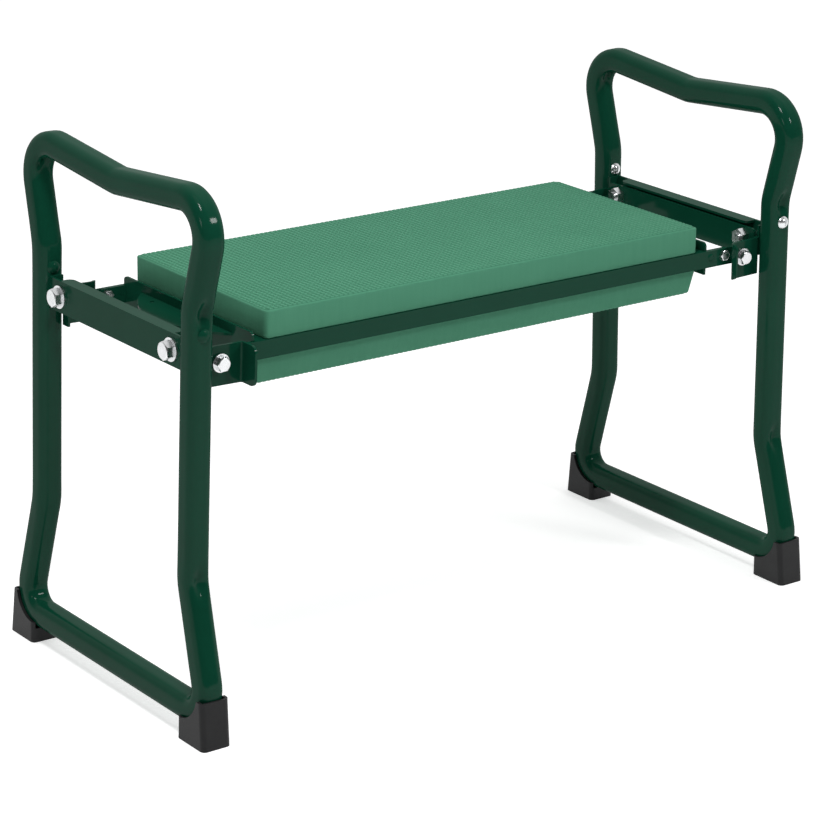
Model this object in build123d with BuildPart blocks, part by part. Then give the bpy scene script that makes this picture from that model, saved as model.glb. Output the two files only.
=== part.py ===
"""Garden kneeler bench: a padded steel seat on two folding end frames, each a loop of bent tube."""

import math
import os

from build123d import *

os.makedirs("parts", exist_ok=True)

# Seat, in millimetres. X runs along the bench, Y across it, Z up from the ground.
PIVOT_Z = 280.0  # hinge axis above the ground
DECK_LENGTH = 437.0
DECK_GAP = 1.0  # deck to the end plates
HINGE_OUT = 34.5  # end plate to the hinge axis
PAD_INSET = 8.5  # upper pad in from the deck's ends
PAD_SIDE = 1.0  # upper pad in from the rails' outer faces
PAD_THICK = 22.0
PAD_CORNER = 3.0
PAD_EDGE = 1.5
UNDER_INSET = 1.5  # lower pad in from the deck's ends
UNDER_SIDE = 0.5  # lower pad in from the rails' flanges
UNDER_DROP = 23.0  # lower pad below the rails
UNDER_TAPER = 9.0  # lean of the lower pad's sides, degrees
PAD_GAP = 0.3  # glue line round a pad
SHEET = 2.0  # pressed steel of rails, channels and brackets
DECK_SHEET = 1.5
DECK_FLANGE = 9.0
RAIL_Y = 91.0  # outer face of each rail
RAIL_HEIGHT = 14.0
RAIL_BELOW = 6.0  # lower edge of the rail under the hinge axis
RAIL_ROUND = 13.0  # rounded lower corner at each rail end, which lets the bracket swing past
RAIL_LIP = 7.0  # inward flange along the foot of each rail
END_ABOVE = 15.0  # end plate above the hinge axis
END_BELOW = 12.0
EAR_PAST = 6.0  # end plate's ear beyond its bolt
PLATE_ROUND = 3.5
TONGUE_WIDTH = 128.0  # rounded shelf on the outside of each end plate
TONGUE_DEPTH = 28.0
TONGUE_DROP = 0.0  # its top below the rails' upper edge
TONGUE_HOLE = 4.0
TONGUE_HOLE_OUT = 6.5  # hole's middle out from the end plate
TONGUE_HOLE_Y = 37.5
STOP_GAP = 0.5  # rail end to bracket web with the legs open
HEAD_CLEAR = 0.5  # end-plate bolt heads to the cheeks that swing past them

# End frames. Heights named with a Z are above the ground, the others above the hinge axis.
SPLAY = 1.5  # degrees that an open leg leans out
TUBE = 20.0
TUBE_ROUND = 6.5
TUBE_WALL = 1.8
TUBE_LAP = 2.5  # tube in behind the outer face of the bracket's web
LEG_LAP = 1.0  # legs in from the bracket's cheeks
FOOT_FLARE = 28.0  # legs' spread between lower kink and bottom bar
GRIP_FLARE = 22.5  # their spread between upper kink and handle
BAR_Z = 21.0
LOW_KINK_Z = 120.0
HIGH_KINK = 45.0
GRIP_RISE = 128.5
DIP_DROP = 11.5  # middle of the handle below its ends
FOOT_BEND = 20.0
LOW_BEND = 45.0
HIGH_BEND = 40.0
GRIP_BEND = 27.0
DIP_BEND = 30.0

# Foot caps.
CAP_REACH = 27.5  # in along the bottom bar from the tube's corner
CAP_PAST = 9.0  # out from the tube's corner
CAP_WALL = 2.5
CAP_HEIGHT = 36.0
CAP_CORNER = 4.0
CAP_LEAN = 6.0  # outer face, degrees
CAP_LIP = 5.0  # cap edge outside the tube's middle line
CAP_FIT = 0.15
GROUND_TRIM = 3.0  # stock under the caps that the level sole takes off

# Cross channel between the legs.
CHANNEL_TOP = 22.5
CHANNEL_HEIGHT = 25.0
CHANNEL_FACE = 4.0  # web outside the tube's middle
CHANNEL_FIT = 0.1  # channel to the legs and to the bracket
FLANGE_INSET = 15.4  # flanges in from the channel's ends
FLANGE_CORNER = 5.0

# Hinge bracket: the same piece serves both ends turned round, with one cheek longer than the other.
LIP_CLEAR = 0.6  # short cheek's bend to the flange of the hinge bolt
LONG_REACH = 21.0  # long cheek on the seat side of the hinge axis
BRACKET_BELOW = 17.5
BRACKET_HEIGHT = 30.5
BRACKET_BACK = 17.0  # hinge axis to the web
BRACKET_BEND = 3.0
WEB_BEND = 1.6
SHORT_LIP = 6.0
LONG_LIP = 17.0
LIP_CORNER = 5.5
WEB_RISE = 6.0  # web above the cheeks
WEB_BELOW = 5.0  # web's lower edge under the hinge axis
WEB_CORNER = 8.0  # web kept beside each cheek

# Fasteners.
PIVOT_BOLT = 6.0
PIVOT_HEX = 10.0
PIVOT_FLANGE = 14.2
PIVOT_HEAD = 6.4
PIVOT_NUT = 5.2
PIVOT_FIT = 0.08
SPACER = 12.0  # washers between rails and cheeks
CHANNEL_BOLT = 8.0
CHANNEL_HEX = 13.0
CHANNEL_FLANGE = 17.9
CHANNEL_HEAD = 8.1
CHANNEL_NUT = 6.5
CHANNEL_BOLT_IN = 15.5  # in from the bracket's cheeks
LEG_BOLT = 6.0
LEG_HEAD = 10.5
LEG_HEAD_RISE = 3.2
LEG_SLOT = 1.4
LEG_SLOT_DEPTH = 1.1
LEG_GRIP = 0.8  # thread inside the low cap nut
LEG_NUT_RISE = 2.3
LEG_BOLT_GAP = 0.75  # round heads above the channel
END_BOLT = 5.0
END_HEX = 8.0
END_HEAD = 3.0
END_NUT = 4.0
END_BOLT_IN = 15.5  # in from the hinge axis
RIVET = 4.0
RIVET_HEAD = 6.5
RIVET_RISE = 1.2
RIVET_OUT = 5.0  # out from the end plate's inner face
HOLE_UP = 2.5  # rail holes above the hinge axis
HOLE_FIT = 0.1
BOLT_TAIL = 2.0  # thread beyond each nut
FLANGE_RIM = 1.6
HEX_RIM = 0.6  # share of the width across flats that clears a hexagon's corners
HEX_CROWN = 0.46  # share of it left flat on top

# Shared places along the bench.
END_X = DECK_LENGTH / 2 + DECK_GAP
PIVOT_X = END_X + HINGE_OUT
PAD_LENGTH = DECK_LENGTH - 2 * PAD_INSET
UNDER_LENGTH = DECK_LENGTH - 2 * UNDER_INSET
END_BOLT_X = PIVOT_X - END_BOLT_IN
EAR_LENGTH = END_BOLT_X + EAR_PAST - END_X
RIVET_X = END_X + RIVET_OUT
RAIL_END = PIVOT_X + BRACKET_BACK - STOP_GAP

# Shared places across it.
RAIL_IN = RAIL_Y - SHEET
PAD_WIDTH = 2 * (RAIL_Y - PAD_SIDE)
UNDER_WIDTH = 2 * (RAIL_Y - RAIL_LIP - UNDER_SIDE)
CHEEK_IN = RAIL_Y + END_HEAD + HEAD_CLEAR
CHEEK_OUT = CHEEK_IN + SHEET
LEG_IN = CHEEK_OUT - LEG_LAP
LEG_Y = LEG_IN + TUBE / 2
LEG_OUT = LEG_IN + TUBE
FOOT_Y = LEG_Y + FOOT_FLARE
GRIP_Y = LEG_Y + GRIP_FLARE
CAP_INNER_Y = FOOT_Y - CAP_REACH
CAP_OUTER_Y = FOOT_Y + CAP_PAST
CAP_WIDTH = TUBE + 2 * CAP_WALL
EAR_OUT = LEG_IN - CHANNEL_FIT
EAR_IN = EAR_OUT - SHEET
FLANGE_Y = EAR_OUT - FLANGE_INSET
CHANNEL_BOLT_Y = CHEEK_IN - CHANNEL_BOLT_IN

# Shared heights, and places out from the hinge axis.
RAIL_LOW = PIVOT_Z - RAIL_BELOW
RAIL_TOP = RAIL_LOW + RAIL_HEIGHT
HOLE_Z = PIVOT_Z + HOLE_UP
GROUND = -PIVOT_Z
BRACKET_FACE = BRACKET_BACK + SHEET
SHORT_REACH = PIVOT_FLANGE / 2 + LIP_CLEAR + BRACKET_BEND + SHEET / 2
FRAME_X = BRACKET_FACE + TUBE / 2 - TUBE_LAP
WEB_OUT = FRAME_X + CHANNEL_FACE
CHANNEL_DEPTH = WEB_OUT - BRACKET_FACE - CHANNEL_FIT
CHANNEL_BOLT_Z = CHANNEL_TOP - CHANNEL_HEIGHT / 2
LEG_BOLT_Z = CHANNEL_TOP + LEG_BOLT_GAP + LEG_HEAD / 2
RIGHT = Location((PIVOT_X, 0, PIVOT_Z), (0, -SPLAY, 0))
LEFT = Location((-PIVOT_X, 0, PIVOT_Z), (0, 0, 180)) * Location((0, 0, 0), (0, -SPLAY, 0))
SIDES = (-1, 1)


def hex_bolt(shank, length, across, head, flange=0.0):
    """A hexagon bolt standing on its head's seat, shank down."""
    with BuildPart() as bolt:
        with BuildSketch():
            RegularPolygon(across / 2, 6, major_radius=False)
        extrude(amount=head)
        with BuildSketch(Plane.XZ):
            with BuildLine():
                rim = across * HEX_RIM
                crown = across * HEX_CROWN
                shoulder = head - (rim - crown) * math.tan(math.radians(30))
                Polyline((0, 0), (rim, 0), (rim, shoulder), (crown, head), (0, head), close=True)
            make_face()
        revolve(axis=Axis.Z, mode=Mode.INTERSECT)
        if flange:
            with Locations((0, 0, FLANGE_RIM / 2)):
                Cylinder(flange / 2, FLANGE_RIM)
        with Locations((0, 0, -length / 2)):
            Cylinder(shank / 2, length)
    return bolt.part


def hex_nut(thread, across, height):
    """A plain hexagon nut lying on its seat, thickness down."""
    with BuildPart() as nut:
        with BuildSketch():
            RegularPolygon(across / 2, 6, major_radius=False)
            Circle(thread / 2 + HOLE_FIT, mode=Mode.SUBTRACT)
        extrude(amount=-height)
    return nut.part


def spacer_ring(bore, outer, length):
    """A plain washer standing on its seat."""
    with BuildPart() as ring:
        with BuildSketch():
            Circle(outer / 2)
            Circle(bore / 2 + HOLE_FIT, mode=Mode.SUBTRACT)
        extrude(amount=length)
    return ring.part


def round_head(head, rise):
    """A low dome on its seat."""
    ball = (head * head / 4 + rise * rise) / (2 * rise)
    with BuildPart() as dome:
        with BuildSketch(Plane.XZ):
            with BuildLine():
                Polyline((0, rise), (0, 0), (head / 2, 0))
                RadiusArc((head / 2, 0), (0, rise), -ball)
            make_face()
        revolve(axis=Axis.Z)
    return dome.part


def flat_rivet(shank, length, head, rise):
    """A low coned head on its seat with a plain shank down."""
    inner = shank / 2
    outline = [(0, rise), (0, -length), (inner, -length), (inner, 0), (head / 2, 0), (inner, rise)]
    with BuildPart() as rivet:
        with BuildSketch(Plane.XZ):
            with BuildLine():
                Polyline(*outline, close=True)
            make_face()
        revolve(axis=Axis.Z)
    return rivet.part


def frame_path():
    """The closed middle line of one end frame, standing at the hinge axis."""
    corners = [
        (0, GROUND + BAR_Z),
        (FOOT_Y, GROUND + BAR_Z),
        (LEG_Y, GROUND + LOW_KINK_Z),
        (LEG_Y, HIGH_KINK),
        (GRIP_Y, GRIP_RISE),
        (0, GRIP_RISE - DIP_DROP),
        (-GRIP_Y, GRIP_RISE),
        (-LEG_Y, HIGH_KINK),
        (-LEG_Y, GROUND + LOW_KINK_Z),
        (-FOOT_Y, GROUND + BAR_Z),
    ]
    bends = [FOOT_BEND, LOW_BEND, HIGH_BEND, GRIP_BEND]
    radii = [0] + bends + [DIP_BEND] + bends[::-1]
    with BuildLine(Plane.YZ.offset(FRAME_X)) as line:
        FilletPolyline(*corners, radius=radii, close=True)
    return line.wires()[0]


FRAME_PATH = frame_path()
FRAME_START = Plane(origin=(FRAME_X, 0, BAR_Z + GROUND), x_dir=(1, 0, 0), z_dir=(0, 1, 0))


def frame_rod():
    """The outside of the bent tube."""
    with BuildPart() as rod:
        with BuildSketch(FRAME_START):
            RectangleRounded(TUBE, TUBE, TUBE_ROUND)
        sweep(path=FRAME_PATH)
    return rod.part


def cap_room():
    """The square room that the foot caps leave round the tube."""
    with BuildPart() as room:
        with BuildSketch(FRAME_START):
            Rectangle(TUBE + 2 * CAP_FIT, TUBE + 2 * CAP_FIT)
        sweep(path=FRAME_PATH)
    return room.part


def frame_bore():
    """The hollow of the bent tube, with its corners cut to keep the wall even."""
    half = TUBE / 2 - TUBE_WALL
    corner = (TUBE / 2 - TUBE_ROUND) * math.sqrt(2) + TUBE_ROUND - TUBE_WALL
    cut = 2 * half - corner * math.sqrt(2)
    with BuildPart() as bore:
        with BuildSketch(FRAME_START) as section:
            Rectangle(2 * half, 2 * half)
            chamfer(section.vertices(), cut)
        sweep(path=FRAME_PATH)
    return bore.part


def leg_tube():
    with BuildPart() as tube:
        add(frame_rod())
        add(frame_bore(), mode=Mode.SUBTRACT)
        with Locations(Location((FRAME_X, 0, LEG_BOLT_Z), (90, 0, 0))):
            Cylinder(LEG_BOLT / 2 + HOLE_FIT, 2 * (LEG_OUT + TUBE), mode=Mode.SUBTRACT)
    return tube.part


def foot_cap(side):
    """A shoe outside the tube's lower bend: upright inside, leaning with the leg outside."""
    lean = math.atan2(LOW_KINK_Z - BAR_Z, FOOT_FLARE)
    bend_y = FOOT_Y - FOOT_BEND / math.tan(lean / 2)
    bend_z = GROUND + BAR_Z + FOOT_BEND
    low = GROUND - GROUND_TRIM
    high = GROUND + CAP_HEIGHT
    draw = (high - low) * math.tan(math.radians(CAP_LEAN))
    outline = [(CAP_INNER_Y, low), (CAP_OUTER_Y, low), (CAP_OUTER_Y - draw, high), (CAP_INNER_Y, high)]
    with BuildPart() as cap:
        with BuildSketch(Plane.YZ.offset(FRAME_X - CAP_WIDTH / 2)):
            with BuildLine():
                Polyline(*[(side * y, z) for y, z in outline], close=True)
            make_face()
        extrude(amount=CAP_WIDTH)
        fillet(cap.edges().filter_by(lambda edge: edge.bounding_box().size.Z > CAP_HEIGHT), CAP_CORNER)
        with Locations(Location((FRAME_X, side * bend_y, bend_z), (0, 90, 0))):
            Cylinder(FOOT_BEND + CAP_LIP, 2 * CAP_WIDTH, mode=Mode.SUBTRACT)
        add(CAP_ROOM, mode=Mode.SUBTRACT)
    return cap.part


def cross_channel():
    middle = CHANNEL_TOP - CHANNEL_HEIGHT / 2
    with BuildPart() as channel:
        with Locations((WEB_OUT - SHEET / 2, 0, middle)):
            Box(SHEET, 2 * EAR_OUT, CHANNEL_HEIGHT)
        for level in (CHANNEL_TOP - SHEET, CHANNEL_TOP - CHANNEL_HEIGHT):
            with BuildSketch(Plane.XY.offset(level)) as flange:
                with Locations((WEB_OUT - CHANNEL_DEPTH / 2, 0)):
                    Rectangle(CHANNEL_DEPTH, 2 * FLANGE_Y)
                fillet(flange.vertices().group_by(Axis.X)[0], FLANGE_CORNER)
            extrude(amount=SHEET)
        for side in SIDES:
            with Locations((WEB_OUT - CHANNEL_DEPTH / 2, side * (EAR_OUT - SHEET / 2), middle)):
                Box(CHANNEL_DEPTH, SHEET, CHANNEL_HEIGHT)
            with Locations(Location((WEB_OUT, side * CHANNEL_BOLT_Y, CHANNEL_BOLT_Z), (0, 90, 0))):
                Cylinder(CHANNEL_BOLT / 2 + HOLE_FIT, 4 * SHEET, mode=Mode.SUBTRACT)
    return channel.part


def hinge_bracket():
    """A pressed U whose cheeks straddle the rails, with turned-out lips and a web cut away below."""
    cheek = (CHEEK_IN + CHEEK_OUT) / 2
    web = BRACKET_BACK + SHEET / 2
    short_lip = -SHORT_REACH + SHEET / 2
    long_lip = -LONG_REACH + SHEET / 2
    foot = -BRACKET_BELOW
    with BuildPart() as bracket:
        with BuildSketch(Plane.XY.offset(foot)):
            with BuildLine() as band:
                FilletPolyline(
                    (short_lip, -CHEEK_OUT - SHORT_LIP),
                    (short_lip, -cheek),
                    (web, -cheek),
                    (web, cheek),
                    (long_lip, cheek),
                    (long_lip, CHEEK_OUT + LONG_LIP),
                    radius=[BRACKET_BEND, WEB_BEND, WEB_BEND, BRACKET_BEND],
                )
            trace(band.edges(), SHEET)
        extrude(amount=BRACKET_HEIGHT)
        across_ends = bracket.edges().filter_by(Axis.X).sort_by(Axis.Y)
        fillet(across_ends[:2] + across_ends[-2:], LIP_CORNER)
        rise = BRACKET_HEIGHT - BRACKET_BELOW
        with BuildSketch(Plane.YZ.offset(BRACKET_BACK)) as plate:
            with Locations((0, rise + WEB_RISE / 2 - SHEET)):
                Rectangle(2 * (CHEEK_IN - BRACKET_BEND), WEB_RISE + 2 * SHEET)
            fillet(plate.vertices().group_by(Axis.Y)[-1], BRACKET_BEND)
        extrude(amount=SHEET)
        with BuildSketch(Plane.YZ.offset(BRACKET_BACK - SHEET)) as notch:
            with Locations((0, foot)):
                Rectangle(2 * (CHEEK_IN - WEB_CORNER), 2 * (BRACKET_BELOW - WEB_BELOW))
            fillet(notch.vertices().group_by(Axis.Y)[-1], BRACKET_BEND)
        extrude(amount=3 * SHEET, mode=Mode.SUBTRACT)
        with Locations(Location((0, 0, 0), (90, 0, 0))):
            Cylinder(PIVOT_BOLT / 2 + PIVOT_FIT, 2 * (CHEEK_OUT + SHEET), mode=Mode.SUBTRACT)
        for side in SIDES:
            with Locations(Location((web, side * CHANNEL_BOLT_Y, CHANNEL_BOLT_Z), (0, 90, 0))):
                Cylinder(CHANNEL_BOLT / 2 + HOLE_FIT, 4 * SHEET, mode=Mode.SUBTRACT)
    return bracket.part


def across(x, y, z, side):
    """Stand a fastener on a face whose outside looks along side * Y."""
    return Location((x, y, z), (-side * 90, 0, 0))


def outward(x, y, z):
    """Stand a fastener on a face that looks along +X."""
    return Location((x, y, z), (0, 90, 0))


def channel_bolts():
    length = WEB_OUT - BRACKET_BACK + CHANNEL_NUT + BOLT_TAIL
    bolt = hex_bolt(CHANNEL_BOLT, length, CHANNEL_HEX, CHANNEL_HEAD, CHANNEL_FLANGE)
    return [bolt.moved(outward(WEB_OUT, side * CHANNEL_BOLT_Y, CHANNEL_BOLT_Z)) for side in SIDES]


def channel_nuts():
    nut = hex_nut(CHANNEL_BOLT, CHANNEL_HEX, CHANNEL_NUT)
    return [nut.moved(outward(BRACKET_BACK, side * CHANNEL_BOLT_Y, CHANNEL_BOLT_Z)) for side in SIDES]


def leg_bolts():
    """Round slotted screws through each leg above the channel, with both heads towards -Y."""
    with BuildPart() as screw:
        add(round_head(LEG_HEAD, LEG_HEAD_RISE))
        with Locations((0, 0, LEG_HEAD_RISE)):
            Box(LEG_SLOT, LEG_HEAD, 2 * LEG_SLOT_DEPTH, mode=Mode.SUBTRACT)
        length = TUBE + LEG_GRIP
        with Locations((0, 0, -length / 2)):
            Cylinder(LEG_BOLT / 2, length)
    return [screw.part.moved(across(FRAME_X, face, LEG_BOLT_Z, -1)) for face in (-LEG_OUT, LEG_IN)]


def leg_nuts():
    """Low round cap nuts with a blind thread, on the legs' other faces."""
    depth = LEG_GRIP + HOLE_FIT
    with BuildPart() as nut:
        add(round_head(LEG_HEAD, LEG_NUT_RISE))
        with Locations((0, 0, depth / 2)):
            Cylinder(LEG_BOLT / 2 + HOLE_FIT, depth, mode=Mode.SUBTRACT)
    return [nut.part.moved(across(FRAME_X, face, LEG_BOLT_Z, 1)) for face in (-LEG_IN, LEG_OUT)]


CAP_ROOM = cap_room()
TUBE_SHAPE = leg_tube()
CHANNEL_SHAPE = cross_channel()
BRACKET_SHAPE = hinge_bracket()
FRONT_CAP = foot_cap(-1)
REAR_CAP = foot_cap(1)
CHANNEL_BOLTS = channel_bolts()
CHANNEL_NUTS = channel_nuts()
LEG_BOLTS = leg_bolts()
LEG_NUTS = leg_nuts()

# Right end frame.
with BuildPart() as right_leg_tube:
    add(TUBE_SHAPE.moved(RIGHT))
right_leg_tube.part.label = "right_leg_tube"
export_step(right_leg_tube.part, "parts/right_leg_tube.step")

with BuildPart() as right_front_foot:
    add(FRONT_CAP.moved(RIGHT))
    split(bisect_by=Plane.XY, keep=Keep.TOP)
right_front_foot.part.label = "right_front_foot"
export_step(right_front_foot.part, "parts/right_front_foot.step")

with BuildPart() as right_rear_foot:
    add(REAR_CAP.moved(RIGHT))
    split(bisect_by=Plane.XY, keep=Keep.TOP)
right_rear_foot.part.label = "right_rear_foot"
export_step(right_rear_foot.part, "parts/right_rear_foot.step")

with BuildPart() as right_cross_channel:
    add(CHANNEL_SHAPE.moved(RIGHT))
right_cross_channel.part.label = "right_cross_channel"
export_step(right_cross_channel.part, "parts/right_cross_channel.step")

with BuildPart() as right_hinge_bracket:
    add(BRACKET_SHAPE.moved(RIGHT))
right_hinge_bracket.part.label = "right_hinge_bracket"
export_step(right_hinge_bracket.part, "parts/right_hinge_bracket.step")

with BuildPart() as right_channel_bolts:
    for bolt in CHANNEL_BOLTS:
        add(bolt.moved(RIGHT))
right_channel_bolts.part.label = "right_channel_bolts"
export_step(right_channel_bolts.part, "parts/right_channel_bolts.step")

with BuildPart() as right_channel_nuts:
    for nut in CHANNEL_NUTS:
        add(nut.moved(RIGHT))
right_channel_nuts.part.label = "right_channel_nuts"
export_step(right_channel_nuts.part, "parts/right_channel_nuts.step")

with BuildPart() as right_leg_bolts:
    for bolt in LEG_BOLTS:
        add(bolt.moved(RIGHT))
right_leg_bolts.part.label = "right_leg_bolts"
export_step(right_leg_bolts.part, "parts/right_leg_bolts.step")

with BuildPart() as right_leg_nuts:
    for nut in LEG_NUTS:
        add(nut.moved(RIGHT))
right_leg_nuts.part.label = "right_leg_nuts"
export_step(right_leg_nuts.part, "parts/right_leg_nuts.step")

# Left end frame: the same pieces turned round, so its front foot is the right frame's rear one.
with BuildPart() as left_leg_tube:
    add(TUBE_SHAPE.moved(LEFT))
left_leg_tube.part.label = "left_leg_tube"
export_step(left_leg_tube.part, "parts/left_leg_tube.step")

with BuildPart() as left_front_foot:
    add(REAR_CAP.moved(LEFT))
    split(bisect_by=Plane.XY, keep=Keep.TOP)
left_front_foot.part.label = "left_front_foot"
export_step(left_front_foot.part, "parts/left_front_foot.step")

with BuildPart() as left_rear_foot:
    add(FRONT_CAP.moved(LEFT))
    split(bisect_by=Plane.XY, keep=Keep.TOP)
left_rear_foot.part.label = "left_rear_foot"
export_step(left_rear_foot.part, "parts/left_rear_foot.step")

with BuildPart() as left_cross_channel:
    add(CHANNEL_SHAPE.moved(LEFT))
left_cross_channel.part.label = "left_cross_channel"
export_step(left_cross_channel.part, "parts/left_cross_channel.step")

with BuildPart() as left_hinge_bracket:
    add(BRACKET_SHAPE.moved(LEFT))
left_hinge_bracket.part.label = "left_hinge_bracket"
export_step(left_hinge_bracket.part, "parts/left_hinge_bracket.step")

with BuildPart() as left_channel_bolts:
    for bolt in CHANNEL_BOLTS:
        add(bolt.moved(LEFT))
left_channel_bolts.part.label = "left_channel_bolts"
export_step(left_channel_bolts.part, "parts/left_channel_bolts.step")

with BuildPart() as left_channel_nuts:
    for nut in CHANNEL_NUTS:
        add(nut.moved(LEFT))
left_channel_nuts.part.label = "left_channel_nuts"
export_step(left_channel_nuts.part, "parts/left_channel_nuts.step")

with BuildPart() as left_leg_bolts:
    for bolt in LEG_BOLTS:
        add(bolt.moved(LEFT))
left_leg_bolts.part.label = "left_leg_bolts"
export_step(left_leg_bolts.part, "parts/left_leg_bolts.step")

with BuildPart() as left_leg_nuts:
    for nut in LEG_NUTS:
        add(nut.moved(LEFT))
left_leg_nuts.part.label = "left_leg_nuts"
export_step(left_leg_nuts.part, "parts/left_leg_nuts.step")


def seat_rail(side):
    """A rolled angle: an upright strip whose ends reach into the brackets, and a flange under the deck."""
    with BuildPart() as rail:
        with BuildSketch(Plane.XZ.offset(-side * RAIL_Y)) as strip:
            with Locations((0, RAIL_LOW + RAIL_HEIGHT / 2)):
                Rectangle(2 * RAIL_END, RAIL_HEIGHT)
            fillet(strip.vertices().group_by(Axis.Y)[0], RAIL_ROUND)
        extrude(amount=side * SHEET)
        with Locations((0, side * (RAIL_Y - RAIL_LIP / 2), RAIL_LOW + SHEET / 2)):
            Box(DECK_LENGTH, RAIL_LIP, SHEET)
        for end in SIDES:
            for place, hole in (
                ((end * PIVOT_X, side * RAIL_Y, PIVOT_Z), PIVOT_BOLT),
                ((end * END_BOLT_X, side * RAIL_Y, HOLE_Z), END_BOLT),
                ((end * RIVET_X, side * RAIL_Y, HOLE_Z), RIVET),
            ):
                with Locations(Location(place, (90, 0, 0))):
                    Cylinder(hole / 2 + HOLE_FIT, 4 * SHEET, mode=Mode.SUBTRACT)
    return rail.part


def end_plate(end):
    """An upright plate across the end of the seat, with an ear against each rail and a rounded shelf outside."""
    ear_far = END_X + EAR_LENGTH
    face = END_X + SHEET
    shelf = RAIL_TOP - TONGUE_DROP
    with BuildPart() as plate:
        with BuildSketch(Plane.YZ.offset(end * END_X)) as upright:
            with Locations((0, PIVOT_Z + (END_ABOVE - END_BELOW) / 2)):
                Rectangle(2 * RAIL_IN, END_ABOVE + END_BELOW)
            fillet(upright.vertices().group_by(Axis.Y)[-1], PLATE_ROUND)
        extrude(amount=end * SHEET)
        with BuildSketch(Plane.XY.offset(shelf)):
            with BuildLine():
                root = end * (face - SHEET / 2)
                tip = end * (face + TONGUE_DEPTH)
                ThreePointArc((root, -TONGUE_WIDTH / 2), (tip, 0), (root, TONGUE_WIDTH / 2))
                Line((root, TONGUE_WIDTH / 2), (root, -TONGUE_WIDTH / 2))
            make_face()
            with Locations((end * (face + TONGUE_HOLE_OUT), -end * TONGUE_HOLE_Y)):
                Circle(TONGUE_HOLE / 2, mode=Mode.SUBTRACT)
        extrude(amount=-SHEET)
        for side in SIDES:
            with BuildSketch(Plane.XZ.offset(-side * RAIL_IN)) as ear:
                with Locations((end * (END_X + ear_far) / 2, RAIL_LOW + RAIL_HEIGHT / 2)):
                    Rectangle(EAR_LENGTH, RAIL_HEIGHT)
                outer = ear.vertices().sort_by(Axis.X)
                fillet(outer[-2:] if end > 0 else outer[:2], PLATE_ROUND)
            extrude(amount=side * SHEET)
            for place, hole in ((END_BOLT_X, END_BOLT), (RIVET_X, RIVET)):
                with Locations(Location((end * place, side * RAIL_IN, HOLE_Z), (90, 0, 0))):
                    Cylinder(hole / 2 + HOLE_FIT, 4 * SHEET, mode=Mode.SUBTRACT)
    return plate.part


# Seat.
with BuildPart() as deck:
    with Locations((0, 0, RAIL_TOP - DECK_SHEET / 2)):
        Box(DECK_LENGTH, 2 * RAIL_IN, DECK_SHEET)
    for side in SIDES:
        with Locations((0, side * (RAIL_IN - DECK_SHEET / 2), RAIL_TOP - DECK_FLANGE / 2)):
            Box(DECK_LENGTH, DECK_SHEET, DECK_FLANGE)
deck.part.label = "deck"
export_step(deck.part, "parts/deck.step")

with BuildPart() as front_rail:
    add(seat_rail(-1))
front_rail.part.label = "front_rail"
export_step(front_rail.part, "parts/front_rail.step")

with BuildPart() as rear_rail:
    add(seat_rail(1))
rear_rail.part.label = "rear_rail"
export_step(rear_rail.part, "parts/rear_rail.step")

with BuildPart() as left_end_plate:
    add(end_plate(-1))
left_end_plate.part.label = "left_end_plate"
export_step(left_end_plate.part, "parts/left_end_plate.step")

with BuildPart() as right_end_plate:
    add(end_plate(1))
right_end_plate.part.label = "right_end_plate"
export_step(right_end_plate.part, "parts/right_end_plate.step")

with BuildPart() as top_pad:
    with BuildSketch(Plane.XY.offset(RAIL_TOP + PAD_GAP)):
        RectangleRounded(PAD_LENGTH, PAD_WIDTH, PAD_CORNER)
    extrude(amount=PAD_THICK)
    fillet(top_pad.faces().sort_by(Axis.Z)[-1].edges(), PAD_EDGE)
top_pad.part.label = "top_pad"
export_step(top_pad.part, "parts/top_pad.step")

with BuildPart() as bottom_pad:
    with BuildSketch(Plane.XY.offset(RAIL_TOP - DECK_SHEET - PAD_GAP)):
        RectangleRounded(UNDER_LENGTH, UNDER_WIDTH, PAD_CORNER)
    extrude(amount=-(RAIL_HEIGHT - DECK_SHEET - PAD_GAP))
    with BuildSketch(Plane.XY.offset(RAIL_LOW)):
        RectangleRounded(UNDER_LENGTH, UNDER_WIDTH, PAD_CORNER)
    extrude(amount=-UNDER_DROP, taper=UNDER_TAPER)
bottom_pad.part.label = "bottom_pad"
export_step(bottom_pad.part, "parts/bottom_pad.step")

pivot_length = CHEEK_OUT + PIVOT_FIT - RAIL_IN + PIVOT_NUT + BOLT_TAIL
pivot_bolt = hex_bolt(PIVOT_BOLT, pivot_length, PIVOT_HEX, PIVOT_HEAD, PIVOT_FLANGE)
pivot_nut = hex_nut(PIVOT_BOLT, PIVOT_HEX, PIVOT_NUT)
end_bolt = hex_bolt(END_BOLT, 2 * SHEET + END_NUT + BOLT_TAIL, END_HEX, END_HEAD)
end_nut = hex_nut(END_BOLT, END_HEX, END_NUT)
rail_rivet = flat_rivet(RIVET, 2 * SHEET, RIVET_HEAD, RIVET_RISE)
pivot_spacer = spacer_ring(PIVOT_BOLT, SPACER, CHEEK_IN - RAIL_Y - PIVOT_FIT)

with BuildPart() as pivot_bolts:
    for end in SIDES:
        for side in SIDES:
            add(pivot_bolt.moved(across(end * PIVOT_X, side * (CHEEK_OUT + PIVOT_FIT), PIVOT_Z, side)))
pivot_bolts.part.label = "pivot_bolts"
export_step(pivot_bolts.part, "parts/pivot_bolts.step")

with BuildPart() as pivot_nuts:
    for end in SIDES:
        for side in SIDES:
            add(pivot_nut.moved(across(end * PIVOT_X, side * RAIL_IN, PIVOT_Z, side)))
pivot_nuts.part.label = "pivot_nuts"
export_step(pivot_nuts.part, "parts/pivot_nuts.step")

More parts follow.
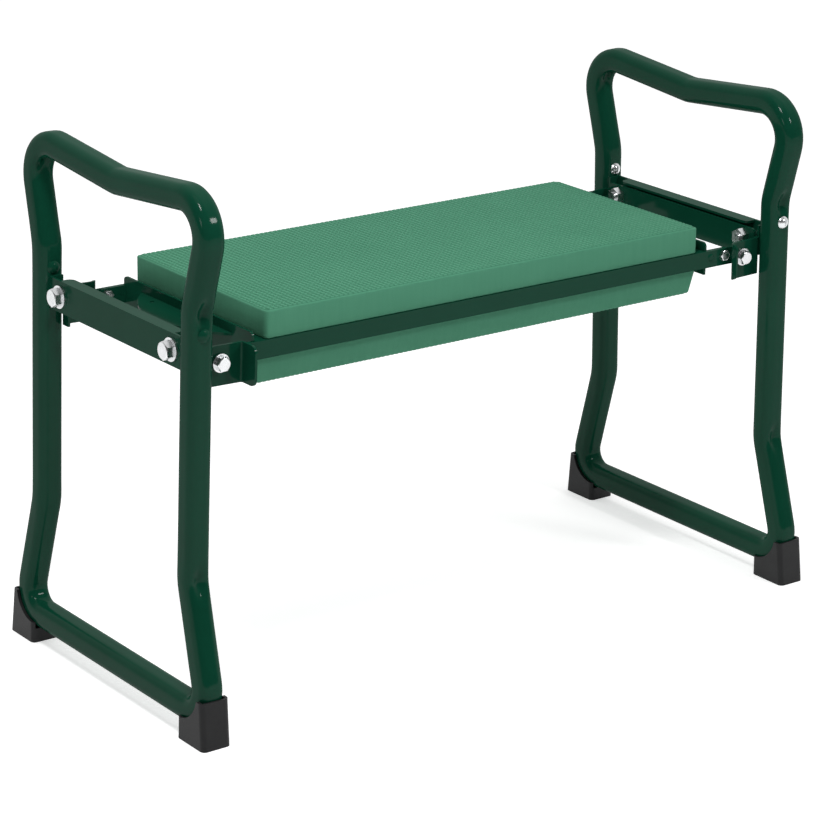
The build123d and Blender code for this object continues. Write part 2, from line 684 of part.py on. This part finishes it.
with BuildPart() as pivot_spacers:
    for end in SIDES:
        for side in SIDES:
            add(pivot_spacer.moved(across(end * PIVOT_X, side * RAIL_Y, PIVOT_Z, side)))
pivot_spacers.part.label = "pivot_spacers"
export_step(pivot_spacers.part, "parts/pivot_spacers.step")

with BuildPart() as end_plate_bolts:
    for end in SIDES:
        for side in SIDES:
            add(end_bolt.moved(across(end * END_BOLT_X, side * RAIL_Y, HOLE_Z, side)))
end_plate_bolts.part.label = "end_plate_bolts"
export_step(end_plate_bolts.part, "parts/end_plate_bolts.step")

with BuildPart() as end_plate_nuts:
    for end in SIDES:
        for side in SIDES:
            add(end_nut.moved(across(end * END_BOLT_X, side * (RAIL_IN - SHEET), HOLE_Z, side)))
end_plate_nuts.part.label = "end_plate_nuts"
export_step(end_plate_nuts.part, "parts/end_plate_nuts.step")

with BuildPart() as rail_rivets:
    for end in SIDES:
        for side in SIDES:
            add(rail_rivet.moved(across(end * RIVET_X, side * RAIL_Y, HOLE_Z, side)))
rail_rivets.part.label = "rail_rivets"
export_step(rail_rivets.part, "parts/rail_rivets.step")
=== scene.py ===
"""Garden kneeler bench: foam pads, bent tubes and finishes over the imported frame, in a white studio."""
import math

import bmesh
import bpy
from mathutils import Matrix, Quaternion, Vector


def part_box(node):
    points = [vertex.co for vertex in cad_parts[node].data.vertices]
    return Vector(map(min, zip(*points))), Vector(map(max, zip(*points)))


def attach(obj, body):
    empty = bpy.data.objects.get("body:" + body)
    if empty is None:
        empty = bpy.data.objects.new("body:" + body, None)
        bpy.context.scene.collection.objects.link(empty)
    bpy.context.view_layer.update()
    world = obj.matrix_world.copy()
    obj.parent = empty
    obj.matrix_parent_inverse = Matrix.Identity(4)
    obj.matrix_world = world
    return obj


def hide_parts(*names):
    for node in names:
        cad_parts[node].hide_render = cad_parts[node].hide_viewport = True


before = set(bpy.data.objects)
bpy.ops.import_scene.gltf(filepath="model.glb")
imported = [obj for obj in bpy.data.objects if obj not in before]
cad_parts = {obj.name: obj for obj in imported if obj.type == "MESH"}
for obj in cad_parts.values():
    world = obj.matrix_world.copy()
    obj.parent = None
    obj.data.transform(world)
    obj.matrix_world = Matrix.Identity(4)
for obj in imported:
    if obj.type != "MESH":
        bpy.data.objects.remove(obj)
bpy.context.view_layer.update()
MM = 0.001

# Bent tube of an end frame, in metres. Its corners are out from the middle and up from the hinge axis.
HINGE_X = 254.0 * MM
HINGE_Z = 280.0 * MM
SPLAY = math.radians(1.5)
TUBE_OUT = 26.5 * MM  # middle of the tube, out from the hinge axis
TUBE = 20.0 * MM
TUBE_ROUND = 6.5 * MM  # rounding of the tube's corners
ROUND_SEGMENTS = 5
FLAT_CUTS = 3  # across each flat of the tube
RING_STEP = 4.0 * MM  # between rings on a straight run
BEND_STEP = math.radians(5.0)  # between rings in a bend
BEND_LEAST = 3  # fewest rings in a bend
WELD_GAP = 0.05 * MM  # points closer than this are joined where the loop closes
TUBE_SMOOTH = math.radians(45)
BAR_RISE = -259.0 * MM
DIP_RISE = 117.0 * MM
DIP_BEND = 30.0 * MM
BENDS = (  # corner, radius, and how deep and how far along the tube its inside is pinched
    ((133.5 * MM, BAR_RISE), 20.0 * MM, 0.0, 1.0 * MM),
    ((105.5 * MM, -160.0 * MM), 45.0 * MM, 4.0 * MM, 20.0 * MM),
    ((105.5 * MM, 45.0 * MM), 40.0 * MM, 5.0 * MM, 21.0 * MM),
    ((128.0 * MM, 128.5 * MM), 27.0 * MM, 5.0 * MM, 24.0 * MM),
)
PINCH_DEEP = 0.40  # share of the tube that a pinch reaches into
PINCH_NARROW = 1.15  # how much narrower than the tube a pinch is
PINCH_SPREAD = 0.7 * MM  # bulge of the tube's sides beside a pinch

# Foam pads.
PAD_CORNER = 3.0 * MM
CORNER_SEGMENTS = 5
PAD_RIM = 1.2 * MM  # round the face; the back has half of it
RIM_SEGMENTS = 3
PAD_SMOOTH = math.radians(40)
CELL = 4.2 * MM  # pitch of the waffle
CELL_SLOPE = 0.9 * MM
CELL_RISE = 0.8 * MM
CELL_LEAST = 0.6  # smallest face that is pressed, as a share of a whole cell
CELL_MOST = 1.1  # largest one
UNDER_DROP = 23.0 * MM  # how far the lower pad hangs below the rails
UNDER_LEAN = math.radians(9.0)
SHARP_ANGLE = math.radians(60)
STEEP = 2.0  # least rise of an upright edge, for its length seen from above
FLAT = 0.99  # least upward or downward part of a flat face's normal
LEVEL_SLACK = 0.01 * MM

# Finishes. Colours are linear light.
COAT_DEEP = (0.0034, 0.0500, 0.0270, 1.0)
COAT_LIGHT = (0.0050, 0.0640, 0.0355, 1.0)
COAT_GLOSS = 0.20  # weight of the gloss layer
COAT_BLUR = 0.10  # its roughness
# Painted shade: the colour put into the grooves between the foam's cells.
FOAM_GROOVE_SHADE = (0.034, 0.160, 0.090, 1.0)
FOAM_DEEP = (0.064, 0.250, 0.150, 1.0)
FOAM_LIGHT = (0.106, 0.345, 0.216, 1.0)
FOAM_SHEEN = 0.20
CAP_DEEP = (0.013, 0.013, 0.014, 1.0)
CAP_LIGHT = (0.023, 0.023, 0.024, 1.0)
CAP_SHEEN = 0.22
ZINC_DULL = (0.58, 0.59, 0.60, 1.0)
ZINC_BRIGHT = (0.86, 0.87, 0.88, 1.0)
WHITE = (1.0, 1.0, 1.0, 1.0)
FLOOR_WHITE = (0.86, 0.86, 0.86, 1.0)

# Studio: white behind the object, a dim room on the camera's side.
ROOM_FRONT = 0.06
ROOM_BACK = 1.0
ROOM_FADE = (-0.4, 0.6)  # from front to back, along the camera's heading
FLOOR_SIZE = 14.0
FLOOR_GLOW = 0.55
SUN_PLACE = (0, 0, 3)
SUN_AIM = (0.15, 0.12, -0.98)
SUN_POWER = 0.20
SUN_SPREAD = math.radians(40.0)
BOX_WIDTH = 0.26
BOX_LENGTH = 0.30
SOFTBOXES = (  # name, place and watts
    ("top_box", (-0.55, -0.50, 1.55), 9.5),
    ("left_box", (-1.6, -0.5, 0.9), 1.5),
    ("right_box", (0.85, -1.42, 1.40), 8.0),
)

# Camera, fitted to the picture's corners.
EYE = Vector((-1.3885, -1.8409, 0.9509))
EYE_YAW = math.radians(36.788)
EYE_PITCH = math.radians(-18.708)
EYE_ROLL = math.radians(0.921)
LENS_MM = 133.40
SENSOR_MM = 36.0


class Wire:
    """A value in a finish; arithmetic on it adds Math nodes."""

    def __init__(self, finish, socket):
        self.finish = finish
        self.socket = socket

    def math(self, operation, *values):
        sockets = dict(enumerate(values))
        return self.finish.node("ShaderNodeMath", {"operation": operation}, sockets)

    def __add__(self, other):
        return self.math("ADD", self, other)

    def __radd__(self, other):
        return self.math("ADD", other, self)

    def __sub__(self, other):
        return self.math("SUBTRACT", self, other)

    def __mul__(self, other):
        return self.math("MULTIPLY", self, other)

    def __rmul__(self, other):
        return self.math("MULTIPLY", other, self)

    def __abs__(self):
        return self.math("ABSOLUTE", self)

    def smooth(self, low, high):
        """0 below low, 1 above high, eased between."""
        settings = {"interpolation_type": "SMOOTHSTEP"}
        sockets = {"Value": self, "From Min": low, "From Max": high}
        return self.finish.node("ShaderNodeMapRange", settings, sockets)


class Finish:
    """A material or a world whose nodes are added in code."""

    def __init__(self, owner):
        self.owner = owner
        owner.use_nodes = True
        self.tree = owner.node_tree
        self.tree.nodes.clear()

    def node(self, kind, settings=None, sockets=None, out=0):
        made = self.tree.nodes.new(kind)
        for name, value in (settings or {}).items():
            setattr(made, name, value)
        for name, value in (sockets or {}).items():
            if isinstance(value, Wire):
                self.tree.links.new(value.socket, made.inputs[name])
            else:
                made.inputs[name].default_value = value
        return Wire(self, made.outputs[out]) if made.outputs else made

    def place(self, kind="Object"):
        """Where a point lies, in object coordinates or another kind."""
        return self.node("ShaderNodeTexCoord", out=kind)

    def part(self, vector, axis):
        """A vector's X, Y or Z."""
        return self.node("ShaderNodeSeparateXYZ", None, {"Vector": vector}, out=axis)

    def stretched(self, place, factors):
        """Coordinates scaled by a factor along each axis."""
        return self.node("ShaderNodeVectorMath", {"operation": "MULTIPLY"}, {0: place, 1: factors})

    def seen(self, *kinds):
        """1 for any of these kinds of ray, such as Camera."""
        rays = [self.node("ShaderNodeLightPath", out=f"Is {kind} Ray") for kind in kinds]
        total = rays[0]
        for ray in rays[1:]:
            total = total.math("MAXIMUM", total, ray)
        return total

    def noise(self, place, scale, detail, rough=0.5):
        sockets = {"Vector": place, "Scale": scale, "Detail": detail, "Roughness": rough}
        return self.node("ShaderNodeTexNoise", None, sockets, out="Fac")

    def blend(self, factor, first, second):
        """Two colours mixed by a value."""
        sockets = {0: factor, 6: first, 7: second}
        return self.node("ShaderNodeMix", {"data_type": "RGBA"}, sockets, out=2)

    def bump(self, height, distance, strength):
        sockets = {"Height": height, "Distance": distance, "Strength": strength}
        return self.node("ShaderNodeBump", None, sockets)

    def surface(self, **values):
        sockets = {name.replace("_", " "): value for name, value in values.items()}
        return self.node("ShaderNodeBsdfPrincipled", None, sockets)

    def done(self, shader, kind="ShaderNodeOutputMaterial"):
        self.node(kind, None, {"Surface": shader})
        return self.owner


def new_finish(name):
    return Finish(bpy.data.materials.new(name))


def powder_coat():
    """Dark green coat with a thin gloss and fine orange peel."""
    finish = new_finish("dark green powder coat")
    place = finish.place()
    cloud = finish.noise(place, scale=22.0, detail=3.0)
    peel = finish.noise(place, scale=950.0, detail=1.0)
    colour = finish.blend(cloud, COAT_DEEP, COAT_LIGHT)
    rough = 0.12 + 0.05 * cloud
    normal = finish.bump(peel, distance=0.04 * MM, strength=0.6)
    shader = finish.surface(Base_Color=colour, Roughness=rough, Normal=normal, Specular_IOR_Level=0.0,
                            Coat_Weight=COAT_GLOSS, Coat_Roughness=COAT_BLUR)
    return finish.done(shader)


def zinc_plate():
    """Bright zinc, a little clouded."""
    finish = new_finish("bright zinc plate")
    place = finish.place()
    cloud = finish.noise(place, scale=260.0, detail=3.0)
    grain = finish.noise(place, scale=2400.0, detail=2.0)
    colour = finish.blend(cloud, ZINC_DULL, ZINC_BRIGHT)
    rough = 0.20 + 0.16 * cloud
    normal = finish.bump(grain, distance=0.06 * MM, strength=0.7)
    shader = finish.surface(Base_Color=colour, Roughness=rough, Metallic=1.0, Normal=normal)
    return finish.done(shader)


def cap_plastic():
    """Charcoal plastic with a fine moulded grain."""
    finish = new_finish("moulded charcoal plastic")
    place = finish.place()
    cloud = finish.noise(place, scale=60.0, detail=3.0)
    grain = finish.noise(place, scale=1500.0, detail=2.0)
    colour = finish.blend(cloud, CAP_DEEP, CAP_LIGHT)
    rough = 0.42 + 0.15 * grain
    normal = finish.bump(grain, distance=0.18 * MM, strength=0.8)
    shader = finish.surface(Base_Color=colour, Roughness=rough, Normal=normal, Specular_IOR_Level=CAP_SHEEN)
    return finish.done(shader)


def foam_skin():
    """Cut sides of the closed-cell foam: fine grain and faint upright saw marks, matt."""
    finish = new_finish("foam, cut side")
    place = finish.place()
    cloud = finish.noise(place, scale=30.0, detail=3.0)
    cells = finish.noise(place, scale=1300.0, detail=2.0, rough=0.6)
    saw = finish.noise(finish.stretched(place, (1.0, 1.0, 0.08)), scale=320.0, detail=2.0)
    shade = 0.30 * cloud + 0.40 * cells + 0.30 * saw
    colour = finish.blend(shade, FOAM_DEEP, FOAM_LIGHT)
    normal = finish.bump(cells + 0.5 * saw, distance=0.30 * MM, strength=0.6)
    shader = finish.surface(Base_Color=colour, Roughness=0.88, Normal=normal, Specular_IOR_Level=FOAM_SHEEN)
    return finish.done(shader)


def foam_waffle():
    """Pressed faces of the foam: raised cells, with painted shade darkening the grooves between them."""
    finish = new_finish("foam, waffled face")
    place = finish.place()
    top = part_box("top_pad")[1][2]
    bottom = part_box("bottom_pad")[0][2]
    rise = abs(finish.part(place, "Z") - (top + bottom) / 2)
    face = (top - bottom) / 2
    raised = rise.smooth(face - CELL_RISE, face)
    cloud = finish.noise(place, scale=18.0, detail=3.0)
    cells = finish.noise(place, scale=1300.0, detail=2.0, rough=0.6)
    grain = finish.blend(0.5 * cloud + 0.5 * cells, FOAM_DEEP, FOAM_LIGHT)
    # Painted shade: the lower the point below the cell tops, the more it takes the dark groove colour.
    colour = finish.blend(0.35 + 0.65 * raised, FOAM_GROOVE_SHADE, grain)
    normal = finish.bump(cells, distance=0.25 * MM, strength=0.6)
    shader = finish.surface(Base_Color=colour, Roughness=0.84, Normal=normal, Specular_IOR_Level=FOAM_SHEEN)
    return finish.done(shader)


def white_floor():
    """White for the camera and in reflections, with the object's soft shadow on it."""
    finish = new_finish("white studio floor")
    glow = finish.seen("Camera", "Glossy", "Transmission") * FLOOR_GLOW
    matt = finish.node("ShaderNodeBsdfDiffuse", None, {"Color": FLOOR_WHITE})
    light = finish.node("ShaderNodeEmission", None, {"Strength": glow})
    shader = finish.node("ShaderNodeAddShader", None, {0: matt, 1: light})
    return finish.done(shader)


def deselect():
    """Back to object mode with nothing selected."""
    if bpy.context.object and bpy.context.object.mode != "OBJECT":
        bpy.ops.object.mode_set(mode="OBJECT")
    bpy.ops.object.select_all(action="DESELECT")


def name_piece(name):
    """Name the object just added, and its mesh."""
    piece = bpy.context.object
    piece.name = name
    piece.data.name = name
    return piece


def smooth_piece(piece, angle):
    """Shade the piece smooth up to an angle."""
    deselect()
    piece.select_set(True)
    bpy.context.view_layer.objects.active = piece
    bpy.ops.object.shade_smooth_by_angle(angle=angle)


def pick(piece, kind, test):
    """Select the piece's faces or edges, in edit mode, that pass a test."""
    bpy.ops.object.mode_set(mode="EDIT")
    bpy.ops.mesh.select_mode(type=kind)
    bpy.ops.mesh.select_all(action="DESELECT")
    shell = bmesh.from_edit_mesh(piece.data)
    for part in shell.faces if kind == "FACE" else shell.edges:
        part.select_set(test(part))
    shell.select_flush_mode()
    bmesh.update_edit_mesh(piece.data)


def sharp(edge):
    return len(edge.link_faces) == 2 and edge.calc_face_angle(0.0) > SHARP_ANGLE


def upright(edge):
    one, two = (vert.co for vert in edge.verts)
    return abs(one.z - two.z) > STEEP * (one - two).xy.length


def at_height(edge, level):
    return all(abs(vert.co.z - level) < LEVEL_SLACK for vert in edge.verts)


def leg_point(across, up, out=TUBE_OUT):
    """A place in the right end frame: across the bench, up from the hinge axis and out from it."""
    lean = Vector((math.cos(SPLAY), 0, math.sin(SPLAY)))
    rise = Vector((-math.sin(SPLAY), 0, math.cos(SPLAY)))
    return Vector((HINGE_X, across, HINGE_Z)) + out * lean + up * rise


def frame_corners():
    """The tube's corners from the middle of the bottom bar round to it again, each with its radius."""
    half = [(Vector(corner), radius) for corner, radius, _, _ in BENDS]
    other = [(Vector((-corner.x, corner.y)), radius) for corner, radius in reversed(half)]
    return half + [(Vector((0, DIP_RISE)), DIP_BEND)] + other


def tube_profile(name):
    """A rounded square ring at the middle of the bottom bar, facing along it."""
    deselect()
    start = leg_point(0, BAR_RISE)
    bpy.ops.mesh.primitive_plane_add(size=TUBE, location=start, rotation=(math.pi / 2, -SPLAY, 0))
    tube = name_piece(name)
    bpy.ops.object.transform_apply(location=True, rotation=True, scale=True)
    pick(tube, "EDGE", lambda edge: True)
    bpy.ops.mesh.bevel(offset=TUBE_ROUND, segments=ROUND_SEGMENTS, affect="VERTICES")
    bpy.ops.mesh.select_all(action="SELECT")
    bpy.ops.mesh.delete(type="ONLY_FACE")
    pick(tube, "EDGE", lambda edge: edge.calc_length() > TUBE_ROUND / 2)
    bpy.ops.mesh.subdivide(number_cuts=FLAT_CUTS)
    bpy.ops.mesh.select_all(action="SELECT")
    return tube


def run_straight(along, length):
    """Extrude the open ring along the tube in even steps."""
    count = max(1, round(length / RING_STEP))
    step = (leg_point(along.x, along.y) - leg_point(0, 0)) * length / count
    for _ in range(count):
        bpy.ops.mesh.extrude_region_move(TRANSFORM_OT_translate={"value": step})


def run_bend(corner, radius, before, after):
    """Spin the open ring round the inside of a corner."""
    turn = math.atan2(before.x * after.y - before.y * after.x, before.dot(after))
    inside = (after - before).normalized()
    centre = corner + inside * radius / math.cos(turn / 2)
    axis = leg_point(0, 0, 1.0) - leg_point(0, 0, 0.0)
    steps = max(BEND_LEAST, round(abs(turn) / BEND_STEP))
    bpy.ops.mesh.spin(steps=steps, angle=-turn, center=leg_point(centre.x, centre.y), axis=axis)


def bent_tube(name):
    """One end frame's loop: straight runs and bends, closed on itself."""
    tube = tube_profile(name)
    start = Vector((0, BAR_RISE))
    corners = frame_corners()
    places = [start] + [corner for corner, _ in corners] + [start]
    headings = [(after - before).normalized() for before, after in zip(places, places[1:])]
    at = start
    for (corner, radius), before, after in zip(corners, headings, headings[1:]):
        short = radius * math.tan(before.angle(after) / 2)
        run_straight(before, (corner - at).length - short)
        run_bend(corner, radius, before, after)
        at = corner + after * short
    run_straight(headings[-1], (start - at).length)
    bpy.ops.mesh.select_all(action="SELECT")
    bpy.ops.mesh.remove_doubles(threshold=WELD_GAP)
    bpy.ops.mesh.normals_make_consistent(inside=False)
    return tube


def ease(value):
    """1 at 0, easing to 0 at 1 and beyond."""
    value = min(abs(value), 1.0)
    return 1 - value * value * (3 - 2 * value)


def pinch_bends(tube):
    """Push in the inside of each bend and let the tube's sides bulge beside it."""
    places = [Vector((0, BAR_RISE))] + [corner for corner, _ in frame_corners()]
    lean = leg_point(0, 0, 1.0) - leg_point(0, 0, 0.0)
    rise = leg_point(0, 1.0) - leg_point(0, 0.0)
    shell = bmesh.from_edit_mesh(tube.data)
    moves = {vert: Vector() for vert in shell.verts}
    for number, (corner, radius, depth, reach) in enumerate(BENDS):
        if depth == 0.0:
            continue
        corner = Vector(corner)
        before = (corner - places[number]).normalized()
        after = (places[number + 2] - corner).normalized()
        inside = (after - before).normalized()
        centre = corner + inside * radius / math.cos(before.angle(after) / 2)
        for vert, move in moves.items():
            local = vert.co - leg_point(0, 0)
            out = local.dot(lean)
            ray = Vector((abs(local.y), local.dot(rise))) - centre
            inward = radius - ray.length
            if abs(inward) > TUBE:
                continue
            near = ease(ray.angle(-inside) * radius / reach)
            middle = ease(PINCH_NARROW * 2 * out / TUBE)
            dent = near * middle * (1 - ease(max(inward, 0.0) / (PINCH_DEEP * TUBE)))
            bulge = near * ease(2 * inward / TUBE) * (1 - middle)
            shift = dent * depth * ray.normalized()
            push = math.copysign(bulge * PINCH_SPREAD, out) * lean
            move += Vector((0, math.copysign(1.0, local.y) * shift.x, 0)) + shift.y * rise + push
    for vert, move in moves.items():
        vert.co += move
    bmesh.update_edit_mesh(tube.data)


def end_frames(material):
    """The right loop, and the left one as its copy turned round."""
    right = bent_tube("right_loop")
    pinch_bends(right)
    right.data.materials.append(material)
    smooth_piece(right, TUBE_SMOOTH)
    bpy.ops.object.duplicate()
    left = name_piece("left_loop")
    left.rotation_euler = (0, 0, math.pi)
    bpy.ops.object.transform_apply(location=True, rotation=True, scale=True)
    for loop, end in ((right, "right"), (left, "left")):
        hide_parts(end + "_leg_tube")
        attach(loop, end + "_leg")


def waffle_sheet(name, corner, far_corner, level):
    """A flat sheet of square cells between two corners, with its object at the origin."""
    deselect()
    wide = far_corner[0] - corner[0]
    deep = far_corner[1] - corner[1]
    middle = ((corner[0] + far_corner[0]) / 2, (corner[1] + far_corner[1]) / 2, level)
    counts = {"x_subdivisions": round(wide / CELL), "y_subdivisions": round(deep / CELL)}
    bpy.ops.mesh.primitive_grid_add(size=1.0, location=middle, **counts)
    sheet = name_piece(name)
    sheet.scale = (wide, deep, 1.0)
    bpy.ops.object.transform_apply(location=True, rotation=False, scale=True)
    return sheet


def draw_out(pad, level, step, spread=(1.0, 1.0, 1.0)):
    """Pull the sheet's open edge away from its face by one step, spreading it."""
    pick(pad, "EDGE", lambda edge: edge.is_boundary)
    bpy.ops.mesh.extrude_region_move(TRANSFORM_OT_translate={"value": (0, 0, step)})
    bpy.ops.transform.resize(value=spread, center_override=(0, 0, level + step))


def finish_pad(pad, face_level, back_level, side, face):
    """Close the pad's back, round its corners and rims, and press the cells into its face."""

    def on_face(part):
        return abs(part.normal.z) > FLAT and abs(part.calc_center_median().z - face_level) < LEVEL_SLACK

    def whole_cell(part):
        return CELL_LEAST < part.calc_area() / CELL**2 < CELL_MOST

    pick(pad, "EDGE", lambda edge: edge.is_boundary)
    bpy.ops.mesh.edge_face_add()
    pick(pad, "FACE", lambda part: True)
    bpy.ops.mesh.normals_make_consistent(inside=False)
    pick(pad, "EDGE", lambda edge: sharp(edge) and upright(edge))
    bpy.ops.mesh.bevel(offset=PAD_CORNER, segments=CORNER_SEGMENTS)
    for level, rim in ((face_level, PAD_RIM), (back_level, PAD_RIM / 2)):
        pick(pad, "EDGE", lambda edge: sharp(edge) and at_height(edge, level))
        bpy.ops.mesh.bevel(offset=rim, segments=RIM_SEGMENTS)
    pad.data.materials.append(side)
    pad.data.materials.append(face)
    pick(pad, "FACE", on_face)
    pad.active_material_index = 1
    bpy.ops.object.material_slot_assign()
    pick(pad, "FACE", lambda part: on_face(part) and whole_cell(part))
    bpy.ops.mesh.inset(thickness=CELL_SLOPE, depth=CELL_RISE, use_individual=True)
    return pad


def seat_pad(side, face):
    """The upper pad: a crisp slab."""
    low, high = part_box("top_pad")
    level = high[2] - CELL_RISE
    pad = waffle_sheet("seat_pad", low, high, level)
    draw_out(pad, level, low[2] - level)
    return finish_pad(pad, level, low[2], side, face)


def kneel_pad(side, face):
    """The lower pad: a block between the rails whose sides draw in below them."""
    low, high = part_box("bottom_pad")
    level = low[2] + CELL_RISE
    waist = low[2] + UNDER_DROP
    draw = UNDER_DROP * math.tan(UNDER_LEAN)
    corner, far_corner = (low[0] + draw, low[1] + draw), (high[0] - draw, high[1] - draw)
    pad = waffle_sheet("kneel_pad", corner, far_corner, level)
    spread = (high[0] / far_corner[0], high[1] / far_corner[1], 1.0)
    draw_out(pad, level, waist - level, spread)
    draw_out(pad, waist, high[2] - waist)
    return finish_pad(pad, level, high[2], side, face)


def place_pad(pad, node):
    """Smooth the pad's rims and put it in its node's place on the seat."""
    smooth_piece(pad, PAD_SMOOTH)
    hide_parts(node)
    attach(pad, "seat")


def wear(node, material):
    """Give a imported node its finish."""
    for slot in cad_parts[node].material_slots:
        slot.material = material


def studio_floor():
    deselect()
    bpy.ops.mesh.primitive_plane_add(size=FLOOR_SIZE, location=(0, 0, 0))
    floor = name_piece("studio_floor")
    floor.data.materials.append(white_floor())


def studio_sky():
    """Soft light from a dim room in front and a white one behind."""
    sky = Finish(bpy.data.worlds.new("studio sky"))
    bpy.context.scene.world = sky.owner
    heading = sky.place("Generated")
    across, along = sky.part(heading, "X"), sky.part(heading, "Y")
    behind = (math.sin(EYE_YAW) * across + math.cos(EYE_YAW) * along).smooth(*ROOM_FADE)
    strength = ROOM_FRONT + (ROOM_BACK - ROOM_FRONT) * behind
    room = sky.node("ShaderNodeBackground", None, {"Color": WHITE, "Strength": strength})
    sky.done(room, "ShaderNodeOutputWorld")


def aimed(direction):
    """The turn of a lamp or camera that looks along a direction."""
    return Vector(direction).to_track_quat("-Z", "Y")


def studio_sun():
    """A faint, wide sun from above."""
    deselect()
    bpy.ops.object.light_add(type="SUN", location=SUN_PLACE)
    sun = bpy.context.object
    sun.name = "key_sun"
    sun.data.energy = SUN_POWER
    sun.data.angle = SUN_SPREAD
    sun.rotation_euler = aimed(SUN_AIM).to_euler()


def softbox(name, place, power):
    """A small softbox that looks at the object."""
    deselect()
    bpy.ops.object.light_add(type="AREA", location=place)
    box = bpy.context.object
    box.name = name
    box.data.shape = "RECTANGLE"
    box.data.size = BOX_WIDTH
    box.data.size_y = BOX_LENGTH
    box.data.energy = power
    box.rotation_euler = aimed(Vector((0, 0, HINGE_Z)) - Vector(place)).to_euler()


def photo_camera():
    deselect()
    bpy.ops.object.camera_add(location=EYE)
    camera = bpy.context.object
    camera.name = "photo_camera"
    flat = math.cos(EYE_PITCH)
    aim = (math.sin(EYE_YAW) * flat, math.cos(EYE_YAW) * flat, math.sin(EYE_PITCH))
    camera.rotation_euler = (aimed(aim) @ Quaternion((0, 0, 1), EYE_ROLL)).to_euler()
    camera.data.lens = LENS_MM
    camera.data.sensor_width = SENSOR_MM
    camera.data.sensor_height = SENSOR_MM
    bpy.context.scene.camera = camera


coat = powder_coat()
zinc = zinc_plate()
plastic = cap_plastic()
side_foam = foam_skin()
face_foam = foam_waffle()

place_pad(seat_pad(side_foam, face_foam), "top_pad")
place_pad(kneel_pad(side_foam, face_foam), "bottom_pad")
end_frames(coat)

for steel_node in ("deck", "front_rail", "rear_rail", "left_end_plate", "right_end_plate", "rail_rivets"):
    wear(steel_node, coat)
for zinc_node in ("pivot_bolts", "pivot_nuts", "pivot_spacers", "end_plate_bolts", "end_plate_nuts"):
    wear(zinc_node, zinc)
for end in ("left_", "right_"):
    for steel_node in ("cross_channel", "hinge_bracket", "leg_nuts"):
        wear(end + steel_node, coat)
    for cap_node in ("front_foot", "rear_foot"):
        wear(end + cap_node, plastic)
    for zinc_node in ("channel_bolts", "channel_nuts", "leg_bolts"):
        wear(end + zinc_node, zinc)

studio_floor()
studio_sky()
studio_sun()
for box_name, box_place, box_power in SOFTBOXES:
    softbox(box_name, box_place, box_power)
photo_camera()
bpy.context.scene.view_settings.view_transform = "Standard"
